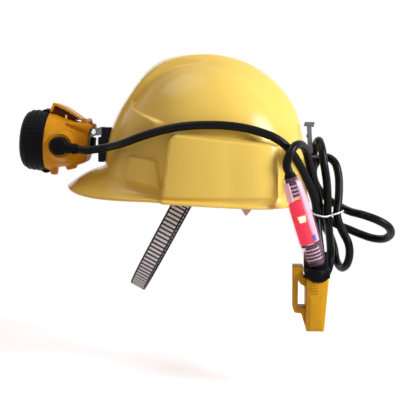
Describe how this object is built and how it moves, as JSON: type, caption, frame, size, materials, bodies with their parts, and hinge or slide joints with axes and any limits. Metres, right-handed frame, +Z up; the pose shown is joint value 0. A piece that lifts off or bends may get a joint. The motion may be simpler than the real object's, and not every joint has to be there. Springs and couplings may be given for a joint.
{
  "type": "miner's cap lamp",
  "caption": "Miner's cap with a tilting cap lamp in front, its cable looped behind, a rear warning light and a belt battery.",
  "frame": {"origin": "middle of the head opening, on the plane of the cap's rim", "axes": "+Z up out of the crown, -X forwards over the peak, +Y towards the side away from the cable"},
  "size_m": [0.4216, 0.2283, 0.2934],
  "materials": {
    "cap_yellow": "glossy moulded cap shell",
    "lamp_yellow": "semi-gloss moulded plastic",
    "black_rubber": "moulded black rubber",
    "black_plastic": "black moulded plastic",
    "cord_black": "smooth black cable sheath",
    "clear_plastic": "clear polycarbonate",
    "red_plastic": "translucent red lamp core",
    "led_white": "light emitting chip under silicone",
    "steel": "plated sheet steel",
    "brass": "turned brass contact",
    "aluminium": "turned aluminium",
    "chrome": "bright plated",
    "board_green": "circuit board",
    "cell_silver": "pouch cell in foil",
    "strap_white": "woven webbing",
    "foam_grey": "foam-backed cloth",
    "band_white": "flexible moulded plastic",
    "tab_pink": "soft tab",
    "tie_white": "plastic-covered wire"
  },
  "bodies": {
    "cap": {"cap_shell": "cap_yellow", "headband": "band_white", "nape_band": "band_white", "suspension_key_1": "band_white", "suspension_key_2": "band_white", "suspension_key_3": "band_white", "suspension_key_4": "band_white", "sweatband": "foam_grey", "nape_stud_1": "black_plastic", "nape_stud_2": "black_plastic", "chin_anchor_near": "black_plastic", "chin_anchor_far": "black_plastic", "lamp_bracket": "black_plastic", "crown_strap_1": "strap_white", "crown_strap_2": "strap_white", "chin_strap": "strap_white", "headband_tab_near": "tab_pink", "headband_tab_far": "tab_pink", "lamp_hook": "steel", "tilt_spring": "steel", "cord_clip": "steel", "clip_rivet_1": "steel", "clip_rivet_2": "steel", "tilt_pin": "chrome", "battery_case": "lamp_yellow", "belt_loop": "lamp_yellow", "tail_gland_top": "black_rubber", "tail_gland_bottom": "black_rubber", "tail_seal_ring": "black_rubber", "battery_cap": "black_rubber", "tail_tube": "clear_plastic", "protection_board": "board_green", "tail_lamp_core": "red_plastic", "battery_cell": "cell_silver", "cord_side_run": "cord_black", "cord_hank": "cord_black", "hank_tie": "tie_white"},
    "headpiece": {"lamp_housing": "lamp_yellow", "bezel_ring": "black_rubber", "bezel_screw": "steel", "lens": "clear_plastic", "lens_gasket": "black_rubber", "reflector": "chrome", "led_board": "aluminium", "led_emitter": "led_white", "heat_sink": "aluminium", "driver_board": "board_green", "cord_gland": "black_rubber", "cover_hinge_pin": "steel", "charge_contact_1": "brass", "charge_contact_2": "brass", "switch_collar": "black_plastic", "hinge_plate": "steel", "hinge_screw_1": "steel", "hinge_screw_2": "steel"},
    "contact_cover": {"contact_cover": "lamp_yellow"},
    "switch_button": {"switch_button": "black_rubber"}
  },
  "joints": [
    {"name": "lamp_tilt", "type": "hinge", "parent": "cap", "child": "headpiece", "pos_m": [-0.127, 0, 0.078], "axis": [0, 1, 0], "range_deg": [-12, 30], "deforming": ["cord_side_run"]},
    {"name": "contact_cover_hinge", "type": "hinge", "parent": "headpiece", "child": "contact_cover", "pos_m": [-0.13696, 0, 0.09041], "axis": [0, 1, 0], "range_deg": [0, 60]},
    {"name": "switch_press", "type": "slide", "parent": "headpiece", "child": "switch_button", "axis": [0, -1, 0], "range_m": [0, 0.002], "stiffness_N_per_m": 400, "springref_m": -0.002}
  ]
}
